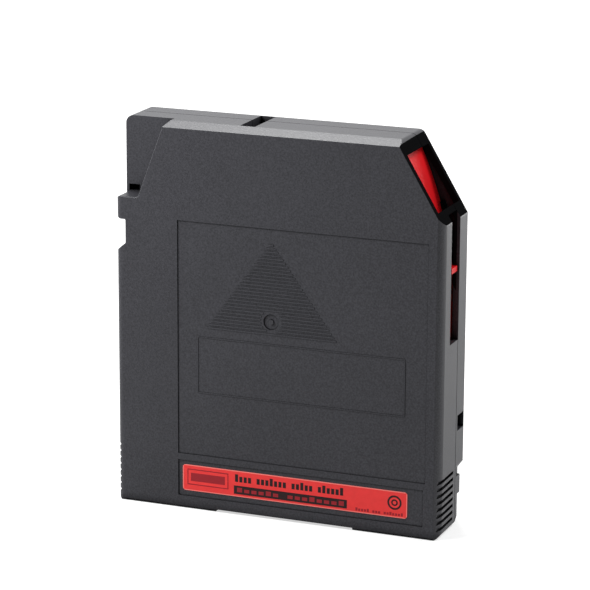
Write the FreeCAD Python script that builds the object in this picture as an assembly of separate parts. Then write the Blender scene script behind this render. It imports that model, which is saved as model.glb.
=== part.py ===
"""Single-reel data tape cartridge, standing on its rear edge.

Frame: +X across the cartridge, +Y through its thickness (the labelled shell faces -Y, the drive's
spindle comes in from +Y), +Z from the rear edge to the leading edge. The origin is the centre of the
footprint on the surface that the cartridge stands on. Millimetres.
"""
import FreeCAD
import Part
import math
import os

from FreeCAD import Vector

# ---- case, outside ----
case_width = 109.0
case_length = 125.0
case_depth = 24.5
upper_depth = 16.3           # share of the depth that the labelled shell takes
parting_gap = 0.3            # shadow line between the shells
wall = 2.0                   # side walls of both shells
face_wall = 2.0              # broad faces of both shells
corner_r = 2.0               # rear corners in plan
lead_corner_r = 2.6          # leading corner beside the stepped recess
lip_thick = 0.9              # tongue of the lower shell behind the parting line
lip_height = 1.4
fit_gap = 0.15               # sideways clearance of seated pieces
slide_gap = 0.3              # clearance between pieces that move past each other

# ---- edges of the labelled face ----
bevel_start_y = -6.0         # depth at which the leading and right bevels begin
lead_bevel = 1.15            # how far the leading bevel runs back at the face
right_bevel = 1.6
left_edge_r = 2.4
rear_edge_r = 0.9
back_edge = 0.6              # chamfer round the spindle face

# ---- leading corner cut off at an angle, with the tape door in it ----
chamfer_x = 15.0
chamfer_z = 25.0
chamfer_lead_r = 2.3
chamfer_low_r = 1.0
exit_start = 4.7             # along the chamfer, from its leading end to the exit
exit_length = 20.0
exit_half_depth = 9.7
slot_top = 2.0               # along the chamfer, from the exit to the slit, which leaves a bar
slit_low_y = -3.5
slit_high_y = 4.5
slit_bottom = 3.7            # from the reel's axis to the slit's rear end

# ---- stepped recess at the other leading corner ----
step_y = -3.4                # depth of the recess floor
step_top = 16.7              # from the flank to the step's slanted edge, at the leading edge
step_low = 7.7               # the same, at the tab
step_line = 0.25             # small chamfer along the step's edge
tab_top = 24.4               # tab and notch, measured back from the leading edge
tab_bottom = 31.7
tab_r = 1.7
notch_depth = 3.5
notch_bottom = 39.4
notch_slope = 2.9
tab_slot_left = 0.9          # slot in the recess floor above the tab, from the flank
tab_slot_right = 4.6
tab_slot_height = 2.2
tab_slot_depth = 4.0

# ---- labelled face ----
panel_left = 21.3            # from the flanks
panel_right = 4.3
panel_bottom_z = 18.3
panel_top = 30.4             # from the leading edge
panel_sink = 0.35
label_seat_bottom_z = 4.2
label_seat_top_z = 16.2
label_sink = 0.4
label_left = 22.8
label_right = 10.1
label_bottom_z = 6.1
label_top_z = 14.7
label_thick = 0.15
frame_left = 28.0
frame_right = 11.4
frame_bottom = 25.7          # frame and arrow, measured from the reel's axis
frame_top = 7.1
frame_line = 0.35
raised_line = 0.16
arrow_top = 25.5
arrow_bottom = 4.3
arrow_pitch = 1.1
arrow_line = 0.5
arrow_slope = 0.735          # half width of the arrow for each millimetre below its point
dimple_r = 2.55
dimple_sink = 0.45
dimple_pip_r = 0.8

# ---- edges and sides ----
lead_notch_left_x = -14.5
lead_notch_right_x = -9.5
lead_notch_sink = 4.0
lead_notch_back = 0.9        # skin left between the notch and the spindle face
rear_relief_left_x = -20.5
rear_relief_right_x = 26.3
rear_relief = 0.9
grip_count = 8
grip_pitch = 2.17
grip_low_z = 3.2
grip_line = 1.1
grip_sink = 1.0
grip_front_y = -11.0
grip_left_y = -11.9          # the left-hand slots reach into the rounded edge
grip_back_y = 2.3
pocket_low_z = 31.0
pocket_high_z = 36.0
pocket_front_y = 5.4
pocket_back_y = 11.4
pocket_sink = 3.0
flank_step = 1.9             # how far the lower shell's flanks step in beside the rear edge
flank_top_z = 19.6
flank_slope = 2.6
flank_tab_low_z = 9.0
flank_tab_high_z = 15.0
flank_tab_out = 0.95

# ---- spindle face ----
spindle_hole_r = 18.5
locating_r = 2.0
locating_depth = 4.5
locating_slot = 2.4          # extra length of the slotted locating hole
locating_left = (8.0, 13.5)  # from the flank and from the leading edge
locating_right = (31.0, 5.8)

# ---- screws ----
screw_r = 1.1
screw_head_r = 2.1
screw_head_height = 1.3
screw_length = 15.0
screw_boss_r = 3.2
screw_drive = 1.8            # length of the cross recess
screw_drive_width = 0.6
screw_rear_left = (8.0, 7.5)         # from the flank and from the rear edge
screw_rear_right = (10.5, 7.5)
screw_lead_left = (18.5, 6.5)        # from the flank and from the leading edge
screw_lead_right = (23.0, 7.0)

# ---- reel ----
reel_x = -1.5
reel_back = 60.3             # from the leading edge to the reel's axis
reel_side_gap = 2.5          # between the flanges and the nearer flank wall
flange_thick = 1.2
tape_width = 12.65
tape_side_gap = 0.08
tape_edge_gap = 2.5          # by which the flanges stand past the wound tape
hub_r = 22.0
hub_wall = 2.4
hub_floor = 1.8
hub_floor_drop = 0.6         # inner floor of the hub below the inside of the lower flange
hub_step = 1.0               # rim of the hub that the upper flange sits on
hub_well = 1.6               # depth of the well inside the drive teeth, where the washer lies
hub_well_r = 12.0
reel_rest_gap = 0.3
drive_ring_inner_r = 12.6
drive_ring_outer_r = 17.4
drive_ring_height = 1.2
drive_teeth = 42
drive_tooth_height = 1.0
support_rib = 1.5            # width of the rib round the spindle hole that carries the reel
support_height = 1.2
washer_r = 9.0
washer_hole_r = 2.6
washer_thick = 0.8

# ---- brake inside the hub ----
brake_teeth = 24
brake_ring_inner_r = 10.6
brake_ring_outer_r = 13.4
brake_tooth_height = 1.2
brake_pedestal = 1.7
brake_pedestal_deg = 45.0
brake_clear = 0.3            # between the two rings of teeth when the reel is free
brake_mesh = 1.0             # overlap of the teeth when the reel is locked
brake_disc_thick = 1.4
brake_boss_r = 6.2
brake_boss_height = 5.5
brake_nose_r = 3.0
brake_nose_height = 1.5
guide_rib = 1.6
guide_span = 9.0
guide_reach = 0.8            # how far the guide rib ends short of the button's disc
brake_spring_r = 8.6
brake_spring_wire = 0.7
brake_spring_turns = 3.5
coil_steps = 8               # straight stretches in each turn of a coil
pad_thick = 1.2
pad_gap = 0.1                # between the brake's nose and the release pad
pad_r = 7.5
pad_arm = 5.0
leg_r = 1.5
leg_circle_r = 15.0
leg_count = 3
leg_hole_gap = 0.3

# ---- tape door ----
door_outer_r = 131.0
door_thick = 1.3
door_wall_gap = 0.7          # between the door and the right-hand wall where they are closest
door_side_gap = 0.25
door_overlap_deg = 0.55      # how far the door reaches past the leading end of the exit
door_tail_deg = -3.5
door_tab_lead = 19.1         # from the reel's axis towards the leading edge
door_tab_height = 1.7
door_tab_y = (-1.0, 4.1)
door_tab_sink = 0.6          # tab tip below the right-hand face
guide_rail = 1.2
guide_rail_height = 1.5
guide_rail_tail_deg = -13.5
guide_rail_lead_deg = 17.0
door_spring_r = 1.9
door_spring_wire = 0.5
door_spring_turns = 7.0
door_spring_foot_z = 17.5
door_hook = 4.6              # depth of the hook that the spring pushes on
door_hook_reach = 4.4
door_hook_thick = 1.2
spring_stop_thick = 1.6

# ---- leader pin and tape leader ----
pin_along = 11.7             # place of the pin along the cut-off corner, and its depth behind it
pin_behind = 9.25
pin_r = 1.2
pin_flange_r = 2.5
pin_flange_thick = 1.2
pin_end_gap = 0.25
clip_r = 1.9
pin_seat_wall = 1.4
pin_seat_height = 2.2
pin_spring_thick = 0.3
leader_thick = 0.2
leader_gap = 0.3

# ---- memory and write protection ----
board_width = 19.0
board_height = 9.0
board_thick = 0.8
board_from_left = 22.5
chip_size = 4.0
chip_thick = 0.7
protect_window_length = 11.0
protect_from_right = 14.0
protect_low_y = -4.4
protect_high_y = 1.4
protect_travel = 5.5
protect_knob = 4.4
protect_plate_thick = 1.4
protect_knob_sink = 0.7

# ---- worked out from the sizes above ----
left_x = -case_width / 2
right_x = case_width / 2
reel_z = case_length - reel_back
flange_r = right_x + reel_x - wall - reel_side_gap
tape_outer_r = flange_r - tape_edge_gap
screw_places = (
    (left_x + screw_rear_left[0], screw_rear_left[1]),
    (right_x - screw_rear_right[0], screw_rear_right[1]),
    (left_x + screw_lead_left[0], case_length - screw_lead_left[1]),
    (right_x - screw_lead_right[0], case_length - screw_lead_right[1]),
)
locating_places = (
    (left_x + locating_left[0], case_length - locating_left[1]),
    (right_x - locating_right[0], case_length - locating_right[1]),
)
tab_top_z = case_length - tab_top
tab_bottom_z = case_length - tab_bottom
notch_bottom_z = case_length - notch_bottom
slit_bottom_z = reel_z - slit_bottom
door_tab_z = reel_z + door_tab_lead
panel_left_x = left_x + panel_left
panel_right_x = right_x - panel_right
panel_top_z = case_length - panel_top
label_left_x = left_x + label_left
label_right_x = right_x - label_right
frame_left_x = left_x + frame_left
frame_right_x = right_x - frame_right
frame_bottom_z = reel_z - frame_bottom
frame_top_z = reel_z - frame_top
arrow_top_z = reel_z + arrow_top
arrow_bottom_z = reel_z - arrow_bottom
board_x = left_x + board_from_left
protect_right_x = right_x - protect_from_right
protect_left_x = protect_right_x - protect_window_length
face_y = -case_depth / 2
back_y = case_depth / 2
upper_end_y = face_y + upper_depth
lower_start_y = upper_end_y + parting_gap
upper_in_y = face_y + face_wall
lower_in_y = back_y - face_wall
chamfer_length = math.hypot(chamfer_x, chamfer_z)
along = Vector(chamfer_x / chamfer_length, 0, -chamfer_z / chamfer_length)
outward = Vector(chamfer_z / chamfer_length, 0, chamfer_x / chamfer_length)
chamfer_lead = Vector(right_x - chamfer_x, 0, case_length)
pin_place = chamfer_lead + along * pin_along - outward * pin_behind
pin_x = pin_place.x
pin_z = pin_place.z

flange_gap = tape_width + 2 * tape_side_gap
hub_out_y = lower_in_y - support_height - reel_rest_gap
hub_in_y = hub_out_y - hub_floor
lower_flange_in_y = hub_in_y - hub_floor_drop
lower_flange_out_y = lower_flange_in_y + flange_thick
upper_flange_in_y = lower_flange_in_y - flange_gap
drive_tip_y = hub_out_y + drive_ring_height + drive_tooth_height
well_out_y = hub_out_y - hub_well
well_in_y = hub_in_y - hub_well

hub_teeth_tip_y = well_in_y - brake_pedestal - brake_tooth_height
brake_tip_y = hub_teeth_tip_y - brake_clear
brake_disc_y = brake_tip_y - brake_tooth_height
brake_top_y = brake_disc_y - brake_disc_thick
brake_nose_y = brake_disc_y + brake_nose_height
guide_end_y = brake_top_y - guide_reach
pad_top_y = brake_nose_y + pad_gap
pad_low_y = pad_top_y + pad_thick
brake_travel = brake_clear + brake_mesh

door_centre_x = right_x - wall - door_wall_gap - door_outer_r
door_inner_r = door_outer_r - door_thick


def vertical(x, z, y=0.0):
    return Vector(x, y, z)


def rounded_outline(corners, y):
    """Closed wire in plan at depth y through (x, z, radius) corners, each rounded by its radius."""
    count = len(corners)
    starts, edges = [], []
    for i, (x, z, r) in enumerate(corners):
        here = vertical(x, z, y)
        before = vertical(*corners[i - 1][:2], y) - here
        after = vertical(*corners[(i + 1) % count][:2], y) - here
        before.normalize()
        after.normalize()
        half = before.getAngle(after) / 2
        reach = r / math.tan(half) if r else 0.0
        middle = before + after
        middle.normalize()
        crown = here + middle * (r / math.sin(half) - r)
        starts.append((here + before * reach, crown, here + after * reach, r))
    for i, (a, m, b, r) in enumerate(starts):
        if r:
            edges.append(Part.Arc(a, m, b).toShape())
        edges.append(Part.LineSegment(b, starts[(i + 1) % count][0]).toShape())
    return Part.Wire(edges)


def prism(wire, depth):
    """Solid that a plan outline sweeps along +Y."""
    return Part.Face(wire).extrude(Vector(0, depth, 0))


def block(x0, x1, y0, y1, z0, z1):
    return Part.makeBox(x1 - x0, y1 - y0, z1 - z0, Vector(x0, y0, z0))


def post(r, y0, y1, x, z):
    """Round solid along Y from y0 to y1."""
    return Part.makeCylinder(r, y1 - y0, Vector(x, y0, z), Vector(0, 1, 0))


def ring(outer, inner, y0, y1, x, z):
    return post(outer, y0, y1, x, z).cut(post(inner, y0 - 1, y1 + 1, x, z))


def wedge_along(points, sweep):
    """Solid swept by the triangle or polygon through points along the vector sweep."""
    return Part.Face(Part.makePolygon(points + points[:1])).extrude(sweep)


# ---------------------------------------------------------------- case

def case_corners():
    """Plan corners of the case, counter-clockwise as seen from the spindle side."""
    notch_x = left_x + notch_depth
    return [
        (left_x, 0, corner_r),
        (right_x, 0, corner_r),
        (right_x, case_length - chamfer_z, chamfer_low_r),
        (right_x - chamfer_x, case_length, chamfer_lead_r),
        (left_x, case_length, lead_corner_r),
        (left_x, tab_bottom_z, tab_r),
        (notch_x, tab_bottom_z, 0.4),
        (notch_x, notch_bottom_z, 0.4),
        (left_x, notch_bottom_z - notch_slope, 1.5),
    ]


def case_block():
    return prism(rounded_outline(case_corners(), face_y), case_depth)


def inset_block(inset, y0, y1):
    """The plan outline drawn in by inset, from depth y0 to y1."""
    face = Part.Face(rounded_outline(case_corners(), y0))
    return face.makeOffset2D(-inset).extrude(Vector(0, y1 - y0, 0))


def step_outline(grow, y):
    """Plan outline of the recess at the leading corner, grown by a wall where one is needed."""
    out = left_x - 6
    return rounded_outline([
        (out, case_length + 6, 0),
        (left_x + step_top + (step_top - step_low) * 6 / tab_top + grow, case_length + 6, 0),
        (left_x + step_low + grow, tab_top_z - grow, 1.5),
        (left_x, tab_top_z - grow, tab_r),
        (left_x, tab_top_z - grow - 4, 0),
        (out, tab_top_z - grow - 4, 0),
    ], y)


def face_bevels():
    """What the bevels and the rounded edges of the labelled face take away."""
    far = 20.0
    lead = wedge_along([
        Vector(left_x - far, face_y, case_length - lead_bevel),
        Vector(left_x - far, bevel_start_y, case_length),
        Vector(left_x - far, face_y - 1, case_length + 1),
        Vector(left_x - far, face_y - 1, case_length - lead_bevel),
    ], Vector(case_width + 2 * far, 0, 0))
    middle = Vector(right_x - 0.45, (face_y + bevel_start_y) / 2 - 0.9, 0)
    curve = Part.Arc(Vector(right_x - right_bevel, face_y, 0), middle, Vector(right_x, bevel_start_y, 0))
    side = Part.Wire([
        curve.toShape(),
        Part.makePolygon([
            Vector(right_x, bevel_start_y, 0),
            Vector(right_x + 1, face_y - 1, 0),
            Vector(right_x - right_bevel, face_y - 1, 0),
            Vector(right_x - right_bevel, face_y, 0),
        ]),
    ])
    right = Part.Face(side).extrude(Vector(0, 0, case_length))
    left = block(left_x - 1, left_x + left_edge_r, face_y - 1, face_y + left_edge_r, -1, case_length + 1)
    left = left.cut(Part.makeCylinder(left_edge_r, case_length + 4,
                                      Vector(left_x + left_edge_r, face_y + left_edge_r, -2)))
    rear = block(left_x - 1, right_x + 1, face_y - 1, face_y + rear_edge_r, -1, rear_edge_r)
    rear = rear.cut(Part.makeCylinder(rear_edge_r, case_width + 4,
                                      Vector(left_x - 2, face_y + rear_edge_r, rear_edge_r), Vector(1, 0, 0)))
    return [lead, right, left, rear]


def exit_cut():
    """Opening in the cut-off corner that the tape leaves by."""
    start = chamfer_lead + along * exit_start + outward
    return along_block(start, exit_length, wall + 4, -exit_half_depth, exit_half_depth)


def along_block(start, length, thick, y0, y1):
    """Block with its long side along the cut-off corner and its thickness inwards from start."""
    end = start + along * length
    corners = [Vector(c.x, y0, c.z) for c in (start, end, end - outward * thick, start - outward * thick)]
    return wedge_along(corners, Vector(0, y1 - y0, 0))


def slit_cut():
    """Slit in the right wall that the drive's door opener runs in, round into the cut-off corner."""
    straight = block(right_x - wall - 1, right_x + 1, slit_low_y, slit_high_y,
                     slit_bottom_z, case_length - chamfer_z + 0.5)
    top = exit_start + exit_length + slot_top
    bend = along_block(chamfer_lead + along * top + outward, chamfer_length - top, wall + 3.2,
                       slit_low_y, slit_high_y)
    return straight.fuse(bend)


def door_angle(z):
    """Angle about the door's centre at which its outer face crosses height z."""
    return math.degrees(math.asin((z - reel_z) / door_outer_r))


def arc_wall(outer, inner, y0, y1, low_deg, high_deg):
    """Part of a round wall about the door's centre, between two angles above +X."""
    full = ring(outer, inner, y0, y1, door_centre_x, reel_z)
    reach = door_outer_r * 1.5
    low, high = math.radians(low_deg), math.radians(high_deg)
    centre = Vector(door_centre_x, y0 - 1, reel_z)
    keep = wedge_along([
        centre,
        centre + Vector(math.cos(low), 0, math.sin(low)) * reach,
        centre + Vector(math.cos(high), 0, math.sin(high)) * reach,
    ], Vector(0, y1 - y0 + 2, 0))
    return full.common(keep)


def door_rails(y0, y1):
    """Two curved rails on one shell, with the door's edge running between them."""
    inner_face = door_inner_r - slide_gap
    outer_face = door_outer_r + slide_gap
    rails = [
        arc_wall(inner_face, inner_face - guide_rail, y0, y1, guide_rail_tail_deg, guide_rail_lead_deg),
        arc_wall(outer_face + guide_rail, outer_face, y0, y1, door_tail_deg - 3, guide_rail_lead_deg),
        arc_wall(outer_face + guide_rail, outer_face, y0, y1, guide_rail_tail_deg, door_tail_deg - 5),
    ]
    return rails


def pin_seat(y0, y1):
    """Horseshoe round one end of the leader pin, open towards the exit."""
    seat_r = pin_flange_r + fit_gap
    shoe = ring(seat_r + pin_seat_wall, seat_r, y0, y1, pin_x, pin_z)
    mouth_start = Vector(pin_x, 0, pin_z) - along * seat_r + outward * 12
    mouth = along_block(mouth_start, 2 * seat_r, 12, y0 - 1, y1 + 1)
    return shoe.cut(mouth)


def reel_guard(y0, y1):
    """Curved ribs that keep the reel central when it isn't held by a spindle."""
    inner = flange_r + 0.8
    full = ring(inner + 1.2, inner, y0, y1, reel_x, reel_z)
    reach = 80.0
    keep = []
    for low_deg, high_deg in ((112, 150), (205, 238), (302, 318)):
        centre = Vector(reel_x, y0 - 1, reel_z)
        low, high = math.radians(low_deg), math.radians(high_deg)
        keep.append(wedge_along([
            centre,
            centre + Vector(math.cos(low), 0, math.sin(low)) * reach,
            centre + Vector(math.cos(high), 0, math.sin(high)) * reach,
        ], Vector(0, y1 - y0 + 2, 0)))
    return [full.common(k) for k in keep]


def arrow_lines(y0):
    """Fine raised lines that make up the insertion arrow, left out round the dimple."""
    lines = []
    count = int((arrow_top_z - arrow_bottom_z) / arrow_pitch)
    for i in range(1, count + 1):
        z = arrow_top_z - i * arrow_pitch
        half = arrow_slope * (arrow_top_z - z)
        gap = dimple_r + 0.9
        side = gap * gap - (z - reel_z) ** 2
        if side > 0:
            clear = math.sqrt(side)
            lines.append(block(reel_x - half, reel_x - clear, y0 - raised_line, y0, z, z + arrow_line))
            lines.append(block(reel_x + clear, reel_x + half, y0 - raised_line, y0, z, z + arrow_line))
        else:
            lines.append(block(reel_x - half, reel_x + half, y0 - raised_line, y0, z, z + arrow_line))
    return lines


def raised_frame(y0):
    line = frame_line
    outer = block(frame_left_x, frame_right_x, y0 - raised_line, y0, frame_bottom_z, frame_top_z)
    inner = block(frame_left_x + line, frame_right_x - line, y0 - raised_line - 1, y0 + 1,
                  frame_bottom_z + line, frame_top_z - line)
    return outer.cut(inner)


def grip_cuts():
    """Grip slots on both flanks of the upper shell."""
    cuts = []
    for i in range(grip_count):
        z = grip_low_z + i * grip_pitch
        for side in (-1, 1):
            x0, x1 = sorted((side * (right_x + 1), side * (right_x - grip_sink)))
            y0 = grip_left_y if side < 0 else grip_front_y
            cuts.append(block(x0, x1, y0, grip_back_y, z - grip_line / 2, z + grip_line / 2))
    return cuts


def upper_shell():
    shell = case_block().common(block(left_x - 1, right_x + 1, face_y - 1, upper_end_y, -1, case_length + 1))
    hollow = inset_block(wall, upper_in_y, upper_end_y + 1)
    step_lining = prism(step_outline(wall, face_y), step_y + wall - face_y)
    lead_lining = block(lead_notch_left_x - 1.5, lead_notch_right_x + 1.5, face_y, upper_end_y + 1,
                        case_length - lead_notch_sink - 1.5, case_length)
    shell = shell.cut(hollow.cut([step_lining, lead_lining]))

    bosses = []
    for x, z in screw_places:
        bosses.append(post(screw_boss_r, upper_in_y - 0.5, upper_end_y, x, z))
    bosses += door_rails(upper_in_y - 0.5, upper_in_y + guide_rail_height)
    bosses.append(pin_seat(upper_in_y - 0.5, upper_in_y + pin_seat_height))
    bosses += reel_guard(upper_in_y - 0.5, upper_in_y + 3.5)
    bosses.append(block(reel_x - guide_span / 2, reel_x + guide_span / 2, upper_in_y - 0.5,
                        guide_end_y, reel_z - guide_rib / 2, reel_z + guide_rib / 2))
    bosses.append(block(reel_x - guide_rib / 2, reel_x + guide_rib / 2, upper_in_y - 0.5,
                        guide_end_y, reel_z - guide_span / 2, reel_z + guide_span / 2))
    bosses.append(ring(brake_spring_r + 1.6, brake_spring_r + 0.6, upper_in_y - 0.5, upper_in_y + 1.5,
                       reel_x, reel_z))
    bosses.append(spring_stop(upper_in_y - 0.5, upper_end_y))
    bosses += board_slots(upper_in_y - 0.5, upper_in_y + 4)
    bosses += protect_rails(upper_in_y - 0.5)
    inside = inset_block(0.5, upper_in_y - 0.5, upper_end_y)
    shell = shell.fuse([b.common(inside) for b in bosses])
    shell = shell.cut(face_bevels())

    panel_y = face_y + panel_sink
    cuts = [
        prism(step_outline(0, face_y - 1), step_y - face_y + 1),
        Part.makeLoft([step_outline(step_line + 0.5, face_y - 0.5), step_outline(0, face_y + step_line)],
                      True, True),
        block(left_x + tab_slot_left, left_x + tab_slot_right, step_y - 1, step_y + tab_slot_depth,
              tab_top_z + 0.1, tab_top_z + tab_slot_height),
        exit_cut(),
        slit_cut(),
        block(panel_left_x, panel_right_x, face_y - 1, panel_y, panel_bottom_z, panel_top_z),
        block(panel_left_x, panel_right_x - 0.6, face_y - 1, face_y + label_sink, label_seat_bottom_z,
              label_seat_top_z),
        block(lead_notch_left_x, lead_notch_right_x, bevel_start_y, upper_end_y + 1,
              case_length - lead_notch_sink, case_length + 1),
        block(rear_relief_left_x, rear_relief_right_x, face_y - 1, back_y + 1, -1, rear_relief),
        protect_window(),
    ]
    cuts += grip_cuts()
    for x, z in screw_places:
        cuts.append(post(screw_r, upper_end_y - screw_length, upper_end_y + 1, x, z))
    shell = shell.cut(cuts)
    shell = shell.fuse(arrow_lines(panel_y) + [raised_frame(panel_y)])
    shell = shell.cut(ring(dimple_r, dimple_pip_r, panel_y - 1, panel_y + dimple_sink, reel_x, reel_z))
    return shell.removeSplitter()


def locating_boss(x, z, extra_r):
    return post(locating_r + extra_r, back_y - locating_depth - extra_r, back_y, x, z)


def flank_cut(side):
    """Step in one flank of the lower shell, beside the rear edge."""
    inner = side * (right_x - flank_step)
    outer = side * (right_x + 1)
    return wedge_along([
        Vector(inner, lower_start_y + 1, -1),
        Vector(inner, lower_start_y + 1, flank_top_z - flank_slope),
        Vector(side * right_x, lower_start_y + 1, flank_top_z),
        Vector(outer, lower_start_y + 1, flank_top_z),
        Vector(outer, lower_start_y + 1, -1),
    ], Vector(0, back_y - lower_start_y, 0))


def lower_shell():
    share = block(left_x - 1, right_x + 1, lower_start_y, back_y + 1, -1, case_length + 1)
    shell = case_block().common(share)
    back_edges = [e for e in shell.Edges if abs(e.BoundBox.YMin - back_y) < 1e-4]
    shell = shell.makeChamfer(back_edge, back_edges)

    hollow = inset_block(wall, lower_start_y - 1, lower_in_y)
    linings = [
        block(right_x - flank_step - wall, right_x, lower_start_y - 2, back_y, -1, flank_top_z + 1.5),
        block(left_x, left_x + flank_step + wall, lower_start_y - 2, back_y, -1, flank_top_z + 1.5),
        block(right_x - pocket_sink - 1.2, right_x, pocket_front_y - 1.2, back_y, pocket_low_z - 1.2,
              pocket_high_z + 1.2),
        block(lead_notch_left_x - 1.5, lead_notch_right_x + 1.5, lower_start_y - 2, back_y,
              case_length - lead_notch_sink - 1.5, case_length),
    ]
    shell = shell.cut(hollow.cut(linings))

    lip_out = wall + fit_gap
    lip = inset_block(lip_out, lower_start_y - lip_height, lower_start_y + 1)
    lip = lip.cut(inset_block(lip_out + lip_thick, lower_start_y - lip_height - 1, lower_start_y + 2))
    lip_ledge = inset_block(wall - 0.5, lower_start_y, lower_start_y + 1)
    lip_ledge = lip_ledge.cut(inset_block(lip_out + lip_thick, lower_start_y - 1, lower_start_y + 2))
    lip_gaps = [
        exit_cut(),
        slit_cut(),
        block(right_x - chamfer_x - 6, right_x, lower_start_y - 9, lower_start_y + 4,
              door_spring_foot_z - spring_stop_thick - 1, case_length),
        block(lead_notch_left_x - 2, lead_notch_right_x + 2, lower_start_y - 9, lower_start_y - 0.01,
              case_length - 12, case_length),
        block(protect_left_x - 6, protect_right_x + 6, lower_start_y - 9, lower_start_y - 0.01, 0, 8),
    ]
    for x, z in screw_places:
        lip_gaps.append(post(screw_boss_r + fit_gap, lower_start_y - 9, lower_start_y - 0.01, x, z))
    shell = shell.fuse([lip.cut(lip_gaps), lip_ledge.cut(lip_gaps[:3])])

    bosses = []
    for x, z in screw_places:
        bosses.append(post(screw_boss_r, lower_start_y, lower_in_y + 0.5, x, z))
    bosses += door_rails(lower_in_y - guide_rail_height, lower_in_y + 0.5)
    bosses.append(pin_seat(lower_in_y - pin_seat_height, lower_in_y + 0.5))
    bosses += reel_guard(lower_in_y - 3.5, lower_in_y + 0.5)
    bosses.append(ring(spindle_hole_r + support_rib, spindle_hole_r, lower_in_y - support_height,
                       lower_in_y + 0.5, reel_x, reel_z))
    for x, z in locating_places:
        bosses.append(locating_boss(x, z, 1.2))
    inside = inset_block(0.5, lower_start_y, lower_in_y + 0.5)
    shell = shell.fuse([b.common(inside) for b in bosses])

    slot_x, slot_z = locating_places[1]
    slot = block(slot_x - locating_slot / 2, slot_x + locating_slot / 2, back_y - locating_depth, back_y + 1,
                 slot_z - locating_r, slot_z + locating_r)
    cuts = [
        exit_cut(),
        slit_cut(),
        flank_cut(1),
        flank_cut(-1),
        block(right_x - pocket_sink, right_x + 1, pocket_front_y, pocket_back_y, pocket_low_z, pocket_high_z),
        block(lead_notch_left_x, lead_notch_right_x, lower_start_y - 1, back_y - lead_notch_back,
              case_length - lead_notch_sink, case_length + 1),
        block(rear_relief_left_x, rear_relief_right_x, face_y - 1, back_y + 1, -1, rear_relief),
        post(spindle_hole_r, lower_in_y - 1, back_y + 1, reel_x, reel_z),
        slot,
    ]
    for x, z in locating_places:
        cuts.append(post(locating_r, back_y - locating_depth, back_y + 1, x, z))
    for x, z in screw_places:
        cuts.append(post(screw_r + fit_gap, lower_start_y - 1, back_y + 1, x, z))
        cuts.append(post(screw_head_r + fit_gap, back_y - screw_head_height, back_y + 1, x, z))
    shell = shell.cut(cuts)
    tab = block(right_x - flank_step - 0.5, right_x - flank_step + flank_tab_out, lower_start_y + 2.5,
                back_y - back_edge, flank_tab_low_z, flank_tab_high_z)
    return shell.fuse(tab).removeSplitter()


def case_screws():
    """Four screws with cross recesses that hold the shells together."""
    screws = []
    tip_y = upper_end_y - screw_length + 1.0
    for x, z in screw_places:
        shank = post(screw_r, tip_y, back_y - screw_head_height, x, z)
        head = post(screw_head_r, back_y - screw_head_height, back_y - 0.1, x, z)
        long, wide = screw_drive / 2, screw_drive_width / 2
        cross = [
            block(x - long, x + long, back_y - 0.9, back_y, z - wide, z + wide),
            block(x - wide, x + wide, back_y - 0.9, back_y, z - long, z + long),
        ]
        screws.append(shank.fuse(head).cut(cross).removeSplitter())
    return Part.makeCompound(screws)


def front_label():
    y = face_y + label_sink
    corners = [
        (label_left_x, label_bottom_z, 1.0),
        (label_right_x, label_bottom_z, 1.0),
        (label_right_x, label_top_z, 1.0),
        (label_left_x, label_top_z, 1.0),
    ]
    return prism(rounded_outline(corners, y - label_thick), label_thick)


# ---------------------------------------------------------------- reel

def toothed_ring(inner_r, outer_r, y, height, count, x, z, phase=0.0):
    """Ring of radial teeth standing from depth y; a negative height makes them point to -Y."""
    teeth = []
    half_outer = math.pi * outer_r / count * 0.92
    half_inner = math.pi * inner_r / count * 0.92
    for i in range(count):
        turn = 360.0 / count * (i + phase)
        root = -0.3 if height > 0 else 0.3
        base = [Vector(inner_r, root, -half_inner), Vector(inner_r, root, half_inner)]
        edge = [Vector(outer_r, root, -half_outer), Vector(outer_r, root, half_outer)]
        flat = 0.22
        top_in = [Vector(inner_r, height, -half_inner * flat), Vector(inner_r, height, half_inner * flat)]
        top_out = [Vector(outer_r, height, -half_outer * flat), Vector(outer_r, height, half_outer * flat)]
        inner = Part.makePolygon([base[0], base[1], top_in[1], top_in[0], base[0]])
        outer = Part.makePolygon([edge[0], edge[1], top_out[1], top_out[0], edge[0]])
        tooth = Part.makeLoft([inner, outer], True, True)
        tooth.rotate(Vector(0, 0, 0), Vector(0, 1, 0), turn)
        tooth.translate(Vector(x, y, z))
        teeth.append(tooth)
    return teeth


def leg_places(circle_r):
    """Plan centres of the release pad's legs."""
    places = []
    for i in range(leg_count):
        turn = math.radians(90 + 360.0 / leg_count * i)
        places.append((reel_x + circle_r * math.cos(turn), reel_z + circle_r * math.sin(turn)))
    return places


def sector(y0, y1, middle_deg, span_deg, reach):
    """Wedge about the reel's axis, used to keep part of a ring."""
    low = math.radians(middle_deg - span_deg / 2)
    high = math.radians(middle_deg + span_deg / 2)
    centre = Vector(reel_x, y0, reel_z)
    tip = reach / math.cos((high - low) / 2)
    return wedge_along([
        centre,
        centre + Vector(math.cos(low), 0, math.sin(low)) * tip,
        centre + Vector(math.cos(high), 0, math.sin(high)) * tip,
    ], Vector(0, y1 - y0, 0))


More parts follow.
